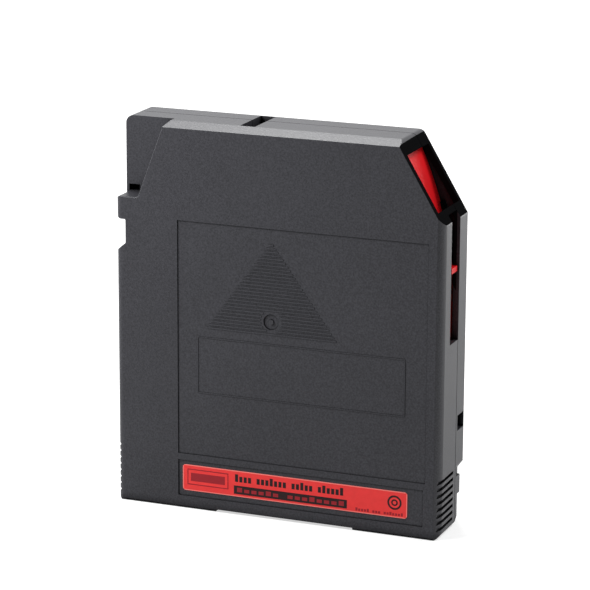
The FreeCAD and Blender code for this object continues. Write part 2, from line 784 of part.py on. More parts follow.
def reel_hub():
    """Hub, lower flange, drive teeth outside and brake teeth inside, moulded as one."""
    flange = ring(flange_r, hub_r - 1, lower_flange_in_y, lower_flange_out_y, reel_x, reel_z)
    barrel = ring(hub_r, hub_r - hub_wall, upper_flange_in_y, hub_out_y, reel_x, reel_z)
    rim = ring(hub_r - hub_step, hub_r - hub_wall, upper_flange_in_y - flange_thick, upper_flange_in_y,
               reel_x, reel_z)
    floor = post(hub_r, hub_in_y, hub_out_y, reel_x, reel_z)
    well = post(hub_well_r + hub_floor, well_in_y, hub_in_y + 0.2, reel_x, reel_z)
    drive = ring(drive_ring_outer_r, drive_ring_inner_r, hub_out_y - 0.2, hub_out_y + drive_ring_height,
                 reel_x, reel_z)
    drive_tooth = toothed_ring(drive_ring_inner_r, drive_ring_outer_r, hub_out_y + drive_ring_height,
                               drive_tooth_height, drive_teeth, reel_x, reel_z)
    pedestal = ring(brake_ring_outer_r, brake_ring_inner_r, well_in_y - brake_pedestal, well_in_y + 0.2,
                    reel_x, reel_z)
    brake_tooth = toothed_ring(brake_ring_inner_r, brake_ring_outer_r, well_in_y - brake_pedestal,
                               -brake_tooth_height, brake_teeth, reel_x, reel_z)
    lock = pedestal.fuse(brake_tooth)
    groups = []
    for i in range(leg_count):
        middle = 90 + 360.0 / leg_count * (i + 0.5)
        keep = sector(hub_teeth_tip_y - 1, well_in_y + 1, middle, brake_pedestal_deg, hub_r)
        groups.append(lock.common(keep))
    hub = flange.fuse([barrel, rim, floor, well, drive] + drive_tooth + groups)
    cuts = [
        post(hub_well_r, well_out_y, drive_tip_y + 1, reel_x, reel_z),
        post(washer_hole_r, well_in_y - 1, hub_out_y + 1, reel_x, reel_z),
    ]
    for x, z in leg_places(leg_circle_r):
        cuts.append(post(leg_r + leg_hole_gap, well_in_y - 1, drive_tip_y + 1, x, z))
    return hub.cut(cuts).removeSplitter()


def upper_flange():
    return ring(flange_r, hub_r - hub_step, upper_flange_in_y - flange_thick, upper_flange_in_y,
                reel_x, reel_z)


def hub_plate():
    """Steel washer that the drive's magnet pulls the reel down by."""
    return ring(washer_r, washer_hole_r, well_out_y, well_out_y + washer_thick, reel_x, reel_z)


def tape_pack():
    y0 = upper_flange_in_y + tape_side_gap
    return ring(tape_outer_r, hub_r, y0, y0 + tape_width, reel_x, reel_z)


def brake_button():
    """Toothed disc that locks the reel; its boss slides on the cross rib of the upper shell."""
    disc = post(brake_ring_outer_r + 0.6, brake_top_y, brake_disc_y, reel_x, reel_z)
    teeth = toothed_ring(brake_ring_inner_r, brake_ring_outer_r, brake_disc_y, brake_tooth_height,
                         brake_teeth, reel_x, reel_z, 0.5)
    boss = post(brake_boss_r, brake_top_y - brake_boss_height, brake_top_y + 0.2, reel_x, reel_z)
    nose = post(brake_nose_r, brake_disc_y - 0.2, brake_nose_y, reel_x, reel_z)
    body = disc.fuse([boss, nose] + teeth)
    span = guide_span / 2 + fit_gap
    rib = guide_rib / 2 + fit_gap
    top = brake_top_y - brake_boss_height - 1
    end = guide_end_y + 2 * brake_clear + 0.4
    cross = [
        block(reel_x - span, reel_x + span, top, end, reel_z - rib, reel_z + rib),
        block(reel_x - rib, reel_x + rib, top, end, reel_z - span, reel_z + span),
    ]
    return body.cut(cross).removeSplitter()


def coil_spring(radius, wire, turns, length, start, axis):
    """Open coil with its lowest and highest wire inside the given length along axis."""
    sections = []
    count = round(turns * coil_steps)
    for i in range(count + 1):
        turn = 2 * math.pi * i / coil_steps
        out = Vector(math.cos(turn), math.sin(turn), 0)
        centre = out * radius + Vector(0, 0, wire / 2 + (length - wire) * i / count)
        corners = []
        for j in range(6):
            side = math.pi / 3 * (j + 0.5)
            offset = out * math.cos(side) + Vector(0, 0, math.sin(side))
            corners.append(centre + offset * (wire / 2))
        sections.append(Part.makePolygon(corners + corners[:1]))
    coil = Part.makeLoft(sections, True, True)
    coil.Placement = FreeCAD.Placement(start, FreeCAD.Rotation(Vector(0, 0, 1), axis))
    return coil


def brake_spring():
    start = Vector(reel_x, upper_in_y + 0.02, reel_z)
    length = brake_top_y - upper_in_y - 0.04
    return coil_spring(brake_spring_r - brake_spring_wire / 2, brake_spring_wire, brake_spring_turns, length,
                       start, Vector(0, 1, 0))


def release_pad():
    """Three-legged pad in the hub; the spindle's teeth push its legs and it lifts the brake."""
    plate = post(pad_r, pad_top_y, pad_low_y, reel_x, reel_z)
    pieces = []
    for i, (x, z) in enumerate(leg_places(leg_circle_r)):
        arm = block(0, leg_circle_r, pad_top_y, pad_low_y, -pad_arm / 2, pad_arm / 2)
        arm.rotate(Vector(0, 0, 0), Vector(0, 1, 0), -(90 + 360.0 / leg_count * i))
        arm.translate(Vector(reel_x, 0, reel_z))
        pieces.append(arm)
        pieces.append(post(pad_arm / 2, pad_top_y, pad_low_y, x, z))
        pieces.append(post(leg_r, pad_top_y, drive_tip_y - brake_travel, x, z))
    return plate.fuse(pieces).removeSplitter()


# ---------------------------------------------------------------- door

def door():
    top_z = (chamfer_lead + along * exit_start).z
    lead_deg = door_angle(top_z) + door_overlap_deg
    y0, y1 = upper_in_y + door_side_gap, lower_in_y - door_side_gap
    leaf = arc_wall(door_outer_r, door_inner_r, y0, y1, door_tail_deg, lead_deg)
    tab_angle = math.radians(door_angle(door_tab_z))
    face_x = door_centre_x + door_outer_r * math.cos(tab_angle)
    tab = block(face_x - door_thick * 0.6, right_x - door_tab_sink, door_tab_y[0], door_tab_y[1],
                door_tab_z - door_tab_height / 2, door_tab_z + door_tab_height / 2)
    hook_x, hook_z = door_tail()
    hook = block(hook_x - door_hook_reach, hook_x, -door_hook / 2, door_hook / 2,
                 hook_z, hook_z + door_hook_thick)
    return leaf.fuse([tab, hook]).removeSplitter()


def door_tail():
    """Plan place on the door's inner face where its tail carries the spring's hook."""
    tail = math.radians(door_tail_deg)
    x = door_centre_x + door_inner_r * math.cos(tail) + 0.2
    return x, reel_z + door_inner_r * math.sin(tail) + 0.15


def door_spring_x():
    return door_tail()[0] - door_spring_r - 0.5


def spring_stop(y0, y1):
    """Shelf beside the rear wall that the door spring stands on."""
    x = door_spring_x()
    return block(x - door_spring_r - 0.8, right_x - 1, y0, y1, door_spring_foot_z - spring_stop_thick,
                 door_spring_foot_z)


def door_spring():
    start = Vector(door_spring_x(), 0, door_spring_foot_z + 0.02)
    length = door_tail()[1] - door_spring_foot_z - 0.04
    return coil_spring(door_spring_r - door_spring_wire / 2, door_spring_wire, door_spring_turns, length,
                       start, Vector(0, 0, 1))


# ---------------------------------------------------------------- leader

def leader_pin():
    y0, y1 = upper_in_y + pin_end_gap, lower_in_y - pin_end_gap
    shaft = post(pin_r, y0, y1, pin_x, pin_z)
    ends = [
        post(pin_flange_r, y0, y0 + pin_flange_thick, pin_x, pin_z),
        post(pin_flange_r, y1 - pin_flange_thick, y1, pin_x, pin_z),
    ]
    return shaft.fuse(ends).removeSplitter()


def tape_middle_y():
    return upper_flange_in_y + flange_gap / 2


def leader_clip():
    """Split sleeve that clamps the end of the leader on the pin."""
    half = tape_width / 2
    middle = tape_middle_y()
    return ring(clip_r, pin_r, middle - half, middle + half, pin_x, pin_z)


def pin_springs():
    """Two leaf springs that hold the pin's ends in their seats."""
    leaves = []
    reach = pin_flange_r + 0.1
    for y0, y1 in ((upper_in_y, upper_in_y + pin_seat_height), (lower_in_y - pin_seat_height, lower_in_y)):
        start = Vector(pin_x, 0, pin_z) + outward * (pin_flange_r + pin_spring_thick + 0.02) - along * reach
        leaves.append(along_block(start, 2 * reach, pin_spring_thick, y0, y1))
    return Part.makeCompound(leaves)


def tape_leader():
    """Flat strip from the clip to the place where it meets the wound tape."""
    wound_r = tape_outer_r + leader_gap
    dx, dz = pin_x - reel_x, pin_z - reel_z
    distance = math.hypot(dx, dz)
    half = math.acos((wound_r - clip_r) / distance)
    angle = math.atan2(dz, dx) - half
    normal = Vector(math.cos(angle), 0, math.sin(angle))
    near_pin = Vector(pin_x, 0, pin_z) + normal * (clip_r + 0.02)
    near_pack = Vector(reel_x, 0, reel_z) + normal * (wound_r + 0.02)
    y0 = upper_flange_in_y + tape_side_gap
    corners = [near_pin, near_pack, near_pack + normal * leader_thick, near_pin + normal * leader_thick]
    return wedge_along([Vector(c.x, y0, c.z) for c in corners], Vector(0, tape_width, 0))


# ---------------------------------------------------------------- memory and write protection

def board_floor_z():
    return wall + 1.0


def board_slots(y0, y1):
    """Two posts with a groove each that the memory board slides into."""
    posts = []
    z = board_floor_z()
    for side in (-1, 1):
        x = board_x + side * (board_width / 2 + 0.4)
        posts.append(block(x - 1.2, x + 1.2, y0, y1, wall - 0.5, z + board_thick + 1.6).cut(
            block(x - 1.2 if side > 0 else x - 0.2, x + 0.2 if side > 0 else x + 1.2, y0 - 1, y1 + 1,
                  z - 0.05, z + board_thick + 0.05)))
    return posts


def memory_board():
    z = board_floor_z()
    return block(board_x - board_width / 2, board_x + board_width / 2, upper_in_y, upper_in_y + board_height,
                 z, z + board_thick)


def memory_chip():
    z = board_floor_z() + board_thick
    y = upper_in_y + board_height / 2
    return block(board_x - chip_size / 2, board_x + chip_size / 2, y - chip_size / 2, y + chip_size / 2,
                 z, z + chip_thick)


def protect_window():
    return block(protect_left_x, protect_right_x, protect_low_y, protect_high_y, -1, wall + 1)


def protect_rails(y0):
    """Shelf and rail that hold the write-protect slider against the rear wall."""
    z = wall + protect_plate_thick + slide_gap
    ends = (protect_left_x - 2.4, protect_right_x + 2.4)
    return [block(ends[0], ends[1], y0, protect_low_y - 1.5, z, z + 1.2),
            block(ends[0], ends[1], y0, protect_low_y - 1.5 - slide_gap, wall - 0.5, z + 0.6)]


def write_protect_slider():
    y0, y1 = protect_low_y - 1.4, protect_high_y + 1.0
    plate = block(protect_left_x - 0.9, protect_right_x - protect_travel + 3.2, y0, y1,
                  wall + 0.02, wall + 0.02 + protect_plate_thick)
    knob = block(protect_left_x + 0.3, protect_left_x + 0.3 + protect_knob, protect_low_y + slide_gap,
                 protect_high_y - slide_gap, protect_knob_sink, wall + 0.5)
    return plate.fuse(knob).removeSplitter()


nodes = {
    "upper_shell": upper_shell,
    "lower_shell": lower_shell,
    "case_screws": case_screws,
    "front_label": front_label,
    "leader_pin": leader_pin,
    "leader_clip": leader_clip,
    "pin_springs": pin_springs,
    "tape_leader": tape_leader,
    "memory_board": memory_board,
    "memory_chip": memory_chip,
    "door": door,
    "door_spring": door_spring,
    "reel_hub": reel_hub,
    "upper_flange": upper_flange,
    "hub_plate": hub_plate,
    "tape_pack": tape_pack,
    "brake_button": brake_button,
    "brake_spring": brake_spring,
    "release_pad": release_pad,
    "write_protect_slider": write_protect_slider,
}


def main():
    os.makedirs("parts", exist_ok=True)
    for name, make in nodes.items():
        shape = make()
        print(name, "valid", shape.isValid(), "solids", len(shape.Solids), "volume", round(shape.Volume, 1))
        shape.exportStep("parts/" + name + ".step")


main()
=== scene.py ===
"""Looks of a single-reel data tape cartridge: finishes, label print, springs, floor, lights and camera."""
import math

import bmesh
import bpy
from bpy.props import FloatProperty, FloatVectorProperty, PointerProperty
from mathutils import Matrix, Vector


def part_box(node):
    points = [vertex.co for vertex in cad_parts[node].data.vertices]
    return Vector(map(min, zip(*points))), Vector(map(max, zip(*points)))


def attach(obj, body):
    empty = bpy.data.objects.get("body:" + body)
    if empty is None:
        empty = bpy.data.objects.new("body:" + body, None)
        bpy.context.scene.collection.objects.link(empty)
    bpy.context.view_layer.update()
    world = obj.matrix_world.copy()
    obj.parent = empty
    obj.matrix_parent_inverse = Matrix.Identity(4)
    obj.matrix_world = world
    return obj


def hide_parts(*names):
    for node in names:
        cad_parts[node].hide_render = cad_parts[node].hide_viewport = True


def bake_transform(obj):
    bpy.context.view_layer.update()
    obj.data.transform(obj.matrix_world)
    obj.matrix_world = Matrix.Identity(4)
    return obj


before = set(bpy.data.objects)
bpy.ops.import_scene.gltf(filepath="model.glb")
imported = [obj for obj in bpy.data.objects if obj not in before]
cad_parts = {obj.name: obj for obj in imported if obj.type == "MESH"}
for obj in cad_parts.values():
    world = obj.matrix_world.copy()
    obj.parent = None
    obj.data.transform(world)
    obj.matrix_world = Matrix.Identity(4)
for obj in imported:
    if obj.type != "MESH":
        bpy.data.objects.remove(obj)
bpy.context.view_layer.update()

bl_info = {
    "name": "Tape Cartridge Looks",
    "version": (1, 0, 0),
    "blender": (4, 5, 0),
    "location": "3D View > Sidebar > Cartridge",
    "description": "Finishes, label print, springs and studio of a data tape cartridge",
    "category": "Object",
}

MM = 0.001

# Noise textures stay mostly within this part of 0 to 1, so shades and roughness run over it
NOISE_SPAN = {"From Min": 0.3, "From Max": 0.7}

# Sockets of the Mix node: its two numbers, its two colours and the colour that it gives
NUMBER_A, NUMBER_B, COLOUR_A, COLOUR_B, COLOUR_OUT = 2, 3, 6, 7, 2


# ---------------------------------------------------------------- helpers

def colour(code):
    """Linear RGBA of an sRGB hex colour."""
    channels = []
    for i in (1, 3, 5):
        value = int(code[i:i + 2], 16) / 255
        channels.append(value / 12.92 if value <= 0.04045 else ((value + 0.055) / 1.055) ** 2.4)
    return (*channels, 1.0)


def add(tree, kind, settings=None, inputs=None):
    """Adds a node with its settings; an input is a value or the output that it is linked to."""
    node = tree.nodes.new(kind)
    for name, value in (settings or {}).items():
        setattr(node, name, value)
    for socket, value in (inputs or {}).items():
        if isinstance(value, bpy.types.NodeSocket):
            tree.links.new(value, node.inputs[socket])
        else:
            node.inputs[socket].default_value = value
    return node


def new_material(name):
    """Empty node material and its tree."""
    material = bpy.data.materials.new(name)
    material.use_nodes = True
    material.node_tree.nodes.clear()
    return material, material.node_tree


def mottled(tree, tint, pattern, darkest, palest):
    """The tint, darker and paler with the height of a pattern."""
    tone = add(tree, "ShaderNodeMapRange", inputs={
        "Value": pattern, **NOISE_SPAN, "To Min": darkest, "To Max": palest})
    return add(tree, "ShaderNodeVectorMath", {"operation": "SCALE"},
               {0: tint[:3], "Scale": tone.outputs[0]}).outputs[0]


def dress(material, *nodes):
    """Gives CAD nodes this finish."""
    for name in nodes:
        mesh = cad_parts[name].data
        mesh.materials.clear()
        mesh.materials.append(material)


def piece_mesh(bm, name, material):
    """Turns a bmesh into an object of the scene."""
    bmesh.ops.recalc_face_normals(bm, faces=bm.faces)
    mesh = bpy.data.meshes.new(name)
    bm.to_mesh(mesh)
    bm.free()
    mesh.materials.append(material)
    piece = bpy.data.objects.new(name, mesh)
    bpy.context.scene.collection.objects.link(piece)
    return piece


def piece_from(bm, name, material, body):
    """Turns a bmesh into a piece that rides on a CAD body."""
    piece = piece_mesh(bm, name, material)
    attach(piece, body)


# ---------------------------------------------------------------- settings

class CaseFinish(bpy.types.PropertyGroup):
    plastic: FloatVectorProperty(
        name="Plastic", description="Colour of the textured case", subtype="COLOR", size=4,
        min=0, max=1, default=colour("#36363a"))
    # painted shade: the near-black colour of the cut-off corner and the walls of the tape exit, which lie in
    # shade
    shaded_corner: FloatVectorProperty(
        name="Polished corner", description="Colour of the smooth faces round the tape exit",
        subtype="COLOR", size=4, min=0, max=1, default=colour("#121213"))
    grain_width: FloatProperty(
        name="Grain width", description="Size of one grain of the moulded texture", subtype="DISTANCE",
        unit="LENGTH", precision=5, default=0.55 * MM)
    grain_depth: FloatProperty(
        name="Grain depth", description="Depth of the moulded texture", subtype="DISTANCE",
        unit="LENGTH", precision=6, default=0.035 * MM)
    edge_radius: FloatProperty(
        name="Edge radius", description="Softening of the moulding's sharp edges", subtype="DISTANCE",
        unit="LENGTH", precision=5, default=0.05 * MM)
    # reach of the painted shade in narrow recesses
    recess_shade_reach: FloatProperty(
        name="Slot width", description="Recesses narrower than about this look dark inside",
        subtype="DISTANCE", unit="LENGTH", precision=5, default=5 * MM)
    gloss: FloatProperty(
        name="Gloss", description="Strength of the textured plastic's reflection", subtype="FACTOR",
        min=0, max=1, default=0.14)


class LabelFinish(bpy.types.PropertyGroup):
    field: FloatVectorProperty(
        name="Field", description="Colour of the label", subtype="COLOR", size=4, min=0, max=1,
        default=colour("#ea3635"))
    rim: FloatVectorProperty(
        name="Rim", description="Colour of the label's cut edge", subtype="COLOR", size=4, min=0, max=1,
        default=colour("#f58078"))
    ink: FloatVectorProperty(
        name="Ink", description="Colour of the dark print", subtype="COLOR", size=4, min=0, max=1,
        default=colour("#1d0b0d"))
    faint_ink: FloatVectorProperty(
        name="Faint ink", description="Colour of the pale print", subtype="COLOR", size=4, min=0, max=1,
        default=colour("#96222a"))
    rim_width: FloatProperty(
        name="Rim width", description="Width of the cut edge that looks paler", subtype="DISTANCE",
        unit="LENGTH", precision=5, default=0.28 * MM)
    ink_height: FloatProperty(
        name="Ink height", description="How far the print stands on the label", subtype="DISTANCE",
        unit="LENGTH", precision=6, default=0.03 * MM)


class DoorFinish(bpy.types.PropertyGroup):
    red: FloatVectorProperty(
        name="Door", description="Colour of the tape door", subtype="COLOR", size=4, min=0, max=1,
        default=colour("#e0141c"))
    roughness: FloatProperty(
        name="Roughness", description="Roughness of the door's satin face", subtype="FACTOR", min=0, max=1,
        default=0.5)
    edge_radius: FloatProperty(
        name="Edge radius", description="Softening of the door's sharp edges", subtype="DISTANCE",
        unit="LENGTH", precision=5, default=0.12 * MM)


class ReelFinish(bpy.types.PropertyGroup):
    hub: FloatVectorProperty(
        name="Hub", description="Colour of the hub and the lower flange", subtype="COLOR", size=4,
        min=0, max=1, default=colour("#9a9c9d"))
    tape: FloatVectorProperty(
        name="Tape", description="Colour of the wound tape", subtype="COLOR", size=4, min=0, max=1,
        default=colour("#2b211d"))
    winding: FloatProperty(
        name="Winding", description="Spacing of the lines that the wound turns show", subtype="DISTANCE",
        unit="LENGTH", precision=5, default=0.5 * MM)


class StageSetup(bpy.types.PropertyGroup):
    floor_radius: FloatProperty(
        name="Floor radius", description="Radius of the floor", subtype="DISTANCE", unit="LENGTH",
        default=4.0)
    floor: FloatVectorProperty(
        name="Floor", description="Colour of the floor", subtype="COLOR", size=4, min=0, max=1,
        default=colour("#c4c4c4"))
    surround: FloatProperty(
        name="Surround", description="Strength of the light from the surroundings", min=0, max=2,
        default=0.25)
    overhead: FloatProperty(
        name="Overhead light", description="Power of the overhead softbox in watts", min=0, max=50,
        default=4.0)
    side: FloatProperty(
        name="Side light", description="Power of the right-hand softbox in watts", min=0, max=50,
        default=1.8)
    front: FloatProperty(
        name="Front light", description="Power of the front left softbox in watts", min=0, max=50,
        default=1.45)
    rear: FloatProperty(
        name="Rear light", description="Power of the low softbox at the back right in watts", min=0, max=50,
        default=1.2)


# ---------------------------------------------------------------- case

# Length that the cut-off corner takes from the leading edge and from the side
CORNER_ACROSS = 15 * MM
CORNER_ALONG = 25 * MM
# Cosine of the largest turn at which a face still counts as the corner's
SAME_FACE = 0.97
# Reach of the painted shade behind the corner's face, and the textured rims beside the outside walls
CORNER_SHADE_DEPTH = 13 * MM
SIDE_RIM = 1 * MM
LEADING_RIM = 0.8 * MM
# Half of the shaded region's width across the case's thickness
CORNER_SHADE_HALF_WIDTH = 9.9 * MM
# Roughness of the smooth corner faces, and strength of their reflection, which is left out as painted shade
POLISHED_ROUGHNESS = 0.3
SHADED_CORNER_GLOSS = 0.0


def case_plastic(looks):
    """Glass-filled polycarbonate moulded in a spark-eroded tool: dark, matt and finely pitted.

    The faces round the tape exit are smoother, as from a polished insert; their near-black colour and missing
    reflection are painted shade.
    """
    material, tree = new_material("moulded_polycarbonate_charcoal")
    place = add(tree, "ShaderNodeTexCoord")
    spots = add(tree, "ShaderNodeSeparateXYZ", inputs={0: place.outputs["Object"]})
    x, y, z = spots.outputs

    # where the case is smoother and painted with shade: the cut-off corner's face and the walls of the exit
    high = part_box("upper_shell")[1]
    lean = Vector((CORNER_ALONG, 0, CORNER_ACROSS)).normalized()
    facing = add(tree, "ShaderNodeNewGeometry").outputs["True Normal"]
    faces_out = add(tree, "ShaderNodeVectorMath", {"operation": "DOT_PRODUCT"}, {0: facing, 1: lean})
    on_face = add(tree, "ShaderNodeMath", {"operation": "GREATER_THAN"},
                  {0: faces_out.outputs["Value"], 1: SAME_FACE})
    depth = add(tree, "ShaderNodeVectorMath", {"operation": "DOT_PRODUCT"},
                {0: place.outputs["Object"], 1: lean})
    face_at = Vector((high.x - CORNER_ACROSS, 0, high.z)).dot(lean)
    across = add(tree, "ShaderNodeMath", {"operation": "ABSOLUTE"}, {0: y})
    inner = 1.0
    for test, measure, limit in (
            ("GREATER_THAN", depth.outputs["Value"], face_at - CORNER_SHADE_DEPTH),
            ("LESS_THAN", x, high.x - SIDE_RIM),
            ("LESS_THAN", z, high.z - LEADING_RIM),
            ("LESS_THAN", across.outputs[0], CORNER_SHADE_HALF_WIDTH)):
        within = add(tree, "ShaderNodeMath", {"operation": test}, {0: measure, 1: limit})
        inner = add(tree, "ShaderNodeMath", {"operation": "MULTIPLY"},
                    {0: inner, 1: within.outputs[0]}).outputs[0]
    shaded_corner = add(tree, "ShaderNodeMath", {"operation": "MAXIMUM"},
                   {0: on_face.outputs[0], 1: inner}).outputs[0]

    # spark-eroded pits are about 0.2 mm wide; drawn at 0.55 mm so that they show
    grain = add(tree, "ShaderNodeTexNoise", inputs={
        "Vector": place.outputs["Object"], "Scale": 1 / looks.grain_width, "Detail": 2.5,
        "Roughness": 0.55})
    # handling and the flow of the melt leave patches about 30 mm wide
    patches = add(tree, "ShaderNodeTexNoise", inputs={
        "Vector": place.outputs["Object"], "Scale": 1 / (30 * MM), "Detail": 2.0})
    shade = add(tree, "ShaderNodeMapRange", inputs={
        "Value": grain.outputs["Fac"], **NOISE_SPAN, "To Min": 0.74, "To Max": 1.3})
    cloud = add(tree, "ShaderNodeMapRange", inputs={
        "Value": patches.outputs["Fac"], **NOISE_SPAN, "To Min": 0.95, "To Max": 1.05})
    tone = add(tree, "ShaderNodeMath", {"operation": "MULTIPLY"},
               {0: shade.outputs[0], 1: cloud.outputs[0]})
    # painted shade: little light gets out of slots and notches narrower than about 5 mm, so their colour and
    # reflection are painted nearly black
    open_to_light = add(tree, "ShaderNodeAmbientOcclusion", {"samples": 8}, {"Distance": looks.recess_shade_reach})
    recess_shade = add(tree, "ShaderNodeMapRange", inputs={
        "Value": open_to_light.outputs["AO"], "From Min": 0.35, "From Max": 0.85, "To Min": 0.08})
    tone = add(tree, "ShaderNodeMath", {"operation": "MULTIPLY"}, {0: tone.outputs[0], 1: recess_shade.outputs[0]})
    body = add(tree, "ShaderNodeVectorMath", {"operation": "SCALE"},
               {0: looks.plastic[:3], "Scale": tone.outputs[0]})
    # painted shade: the corner's face and the exit's walls take the near-black colour
    base = add(tree, "ShaderNodeMix", {"data_type": "RGBA"},
               {0: shaded_corner, COLOUR_A: body.outputs[0], COLOUR_B: looks.shaded_corner})
    matt = add(tree, "ShaderNodeMapRange", inputs={
        "Value": grain.outputs["Fac"], **NOISE_SPAN, "To Min": 0.34, "To Max": 0.46})
    rough = add(tree, "ShaderNodeMix", {"data_type": "FLOAT"},
                {0: shaded_corner, NUMBER_A: matt.outputs[0], NUMBER_B: POLISHED_ROUGHNESS})
    # the painted shade in narrow recesses also dims the reflection
    gloss = add(tree, "ShaderNodeMath", {"operation": "MULTIPLY"}, {0: looks.gloss, 1: recess_shade.outputs[0]})
    # painted shade: these faces also lose their reflection
    sheen = add(tree, "ShaderNodeMix", {"data_type": "FLOAT"},
                {0: shaded_corner, NUMBER_A: gloss.outputs[0], NUMBER_B: SHADED_CORNER_GLOSS})
    pits = add(tree, "ShaderNodeMath", {"operation": "SUBTRACT"}, {0: 1.0, 1: shaded_corner})
    soft = add(tree, "ShaderNodeBevel", {"samples": 6}, {"Radius": looks.edge_radius})
    bump = add(tree, "ShaderNodeBump", inputs={
        "Height": grain.outputs["Fac"], "Strength": pits.outputs[0], "Distance": looks.grain_depth,
        "Normal": soft.outputs[0]})
    shader = add(tree, "ShaderNodeBsdfPrincipled", inputs={
        "Base Color": base.outputs[COLOUR_OUT], "Roughness": rough.outputs[0], "IOR": 1.58,
        "Specular IOR Level": sheen.outputs[0], "Normal": bump.outputs[0]})
    add(tree, "ShaderNodeOutputMaterial", inputs={"Surface": shader.outputs[0]})
    return material


class CARTRIDGE_OT_case(bpy.types.Operator):
    """Finish of the two shells"""
    bl_idname = "cartridge.case"
    bl_label = "Case"

    def execute(self, context):
        dress(case_plastic(context.scene.cartridge_case), "upper_shell", "lower_shell")
        return {"FINISHED"}


# ---------------------------------------------------------------- label

def label_film(looks):
    """Printed polyester label film: satin, with a slightly paler rim where it was cut."""
    material, tree = new_material("printed_polyester_label")
    low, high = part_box("front_label")
    place = add(tree, "ShaderNodeTexCoord")
    spots = add(tree, "ShaderNodeSeparateXYZ", inputs={0: place.outputs["Object"]})
    at_ends = []
    for axis, output in ((0, spots.outputs[0]), (2, spots.outputs[2])):
        middle = (low[axis] + high[axis]) / 2
        off = add(tree, "ShaderNodeMath", {"operation": "SUBTRACT"}, {0: output, 1: middle})
        away = add(tree, "ShaderNodeMath", {"operation": "ABSOLUTE"}, {0: off.outputs[0]})
        edge = (high[axis] - low[axis]) / 2 - looks.rim_width
        at_ends.append(add(tree, "ShaderNodeMath", {"operation": "GREATER_THAN"},
                           {0: away.outputs[0], 1: edge}).outputs[0])
    rim = add(tree, "ShaderNodeMath", {"operation": "MAXIMUM"}, {0: at_ends[0], 1: at_ends[1]})
    # the film follows the adhesive below it: waves about 2 mm long
    wave = add(tree, "ShaderNodeTexNoise", inputs={
        "Vector": place.outputs["Object"], "Scale": 1 / (2 * MM), "Detail": 2.0})
    field = mottled(tree, looks.field, wave.outputs["Fac"], darkest=0.96, palest=1.03)
    base = add(tree, "ShaderNodeMix", {"data_type": "RGBA"},
               {0: rim.outputs[0], COLOUR_A: field, COLOUR_B: looks.rim})
    bump = add(tree, "ShaderNodeBump", inputs={
        "Height": wave.outputs["Fac"], "Strength": 0.4, "Distance": 0.01 * MM})
    shader = add(tree, "ShaderNodeBsdfPrincipled", inputs={
        "Base Color": base.outputs[COLOUR_OUT], "Roughness": 0.38, "IOR": 1.5,
        "Specular IOR Level": 0.3, "Normal": bump.outputs[0]})
    add(tree, "ShaderNodeOutputMaterial", inputs={"Surface": shader.outputs[0]})
    return material


def printing_ink(name, tint):
    """Screen-printed ink: an even film, a little rough where the mesh lifted off."""
    material, tree = new_material(name)
    place = add(tree, "ShaderNodeTexCoord")
    # the mesh marks are really 0.1 mm wide; drawn at 0.3 mm so that they show
    mesh = add(tree, "ShaderNodeTexNoise", inputs={
        "Vector": place.outputs["Object"], "Scale": 1 / (0.3 * MM), "Detail": 1.0})
    tone = add(tree, "ShaderNodeMapRange", inputs={
        "Value": mesh.outputs["Fac"], "To Min": 0.8, "To Max": 1.2})
    base = add(tree, "ShaderNodeVectorMath", {"operation": "SCALE"},
               {0: tint[:3], "Scale": tone.outputs[0]})
    rough = add(tree, "ShaderNodeMapRange", inputs={
        "Value": mesh.outputs["Fac"], "To Min": 0.4, "To Max": 0.6})
    shader = add(tree, "ShaderNodeBsdfPrincipled", inputs={
        "Base Color": base.outputs[0], "Roughness": rough.outputs[0], "IOR": 1.5,
        "Specular IOR Level": 0.2})
    add(tree, "ShaderNodeOutputMaterial", inputs={"Surface": shader.outputs[0]})
    return material


# The print on the label. Rectangles are left, right, foot and top in millimetres from the label's
# lower left corner
BAND = (17.7, 56.1, 0.85, 3.65)
BAND_LINE = (18.8, 55.1, 1.55, 3.05)
MAIN_LINE = (18.1, 54.8, 4.9, 7.4)
SMALL_LINE = (59.0, 74.7, 0.65, 1.65)
FIELD = (1.6, 15.8, 2.0, 7.3)
# Width of the field's line, and the bare strips inside it at the sides and at the foot and top
FIELD_LINE = 0.32
FIELD_STRIPS = (1.2, 1.3)
# Middle of the two rings, and the outer and inner radius of each
RING_CENTRE = (71.9, 4.85)
RING_RADII = ((2.35, 1.75), (1.1, 0.6))
# Blocks in each group of a line
BAND_GROUPS = (6, 8)
MAIN_GROUPS = (4, 7, 5, 6)
SMALL_GROUPS = (5, 3, 7)
# Share of a block's pitch that stays bare, and the height of the low blocks beside the tall ones
BARE_SHARE = 0.3
LOW_SHARE = 0.74
# How far the print reaches into the film, so that no gap shows below it
INK_ROOT = 0.01 * MM


def add_plate(bm, area, y0, y1):
    """Thin rectangle of print, from y0 to y1."""
    x0, x1, z0, z1 = area
    front = [bm.verts.new((x * MM, y0, z * MM)) for x, z in ((x0, z0), (x1, z0), (x1, z1), (x0, z1))]
    back = [bm.verts.new((v.co.x, y1, v.co.z)) for v in front]
    bm.faces.new(front)
    bm.faces.new(back[::-1])
    for i in range(4):
        j = (i + 1) % 4
        bm.faces.new((front[i], back[i], back[j], front[j]))


def add_groups(bm, groups, area, y0, y1):
    """Row of plain blocks in groups that stands for a line of print. It holds no letters."""
    x0, x1, z0, z1 = area
    pitch = (x1 - x0) / (sum(groups) + len(groups) - 1 - BARE_SHARE)
    low_top = z0 + (z1 - z0) * LOW_SHARE
    at = x0
    for number, length in enumerate(groups):
        for i in range(length):
            # one block in four is tall, at another place in each group
            tall = (i * 7 + number * 3) % 4 == 0
            add_plate(bm, (at, at + pitch * (1 - BARE_SHARE), z0, z1 if tall else low_top), y0, y1)
            at += pitch
        at += pitch


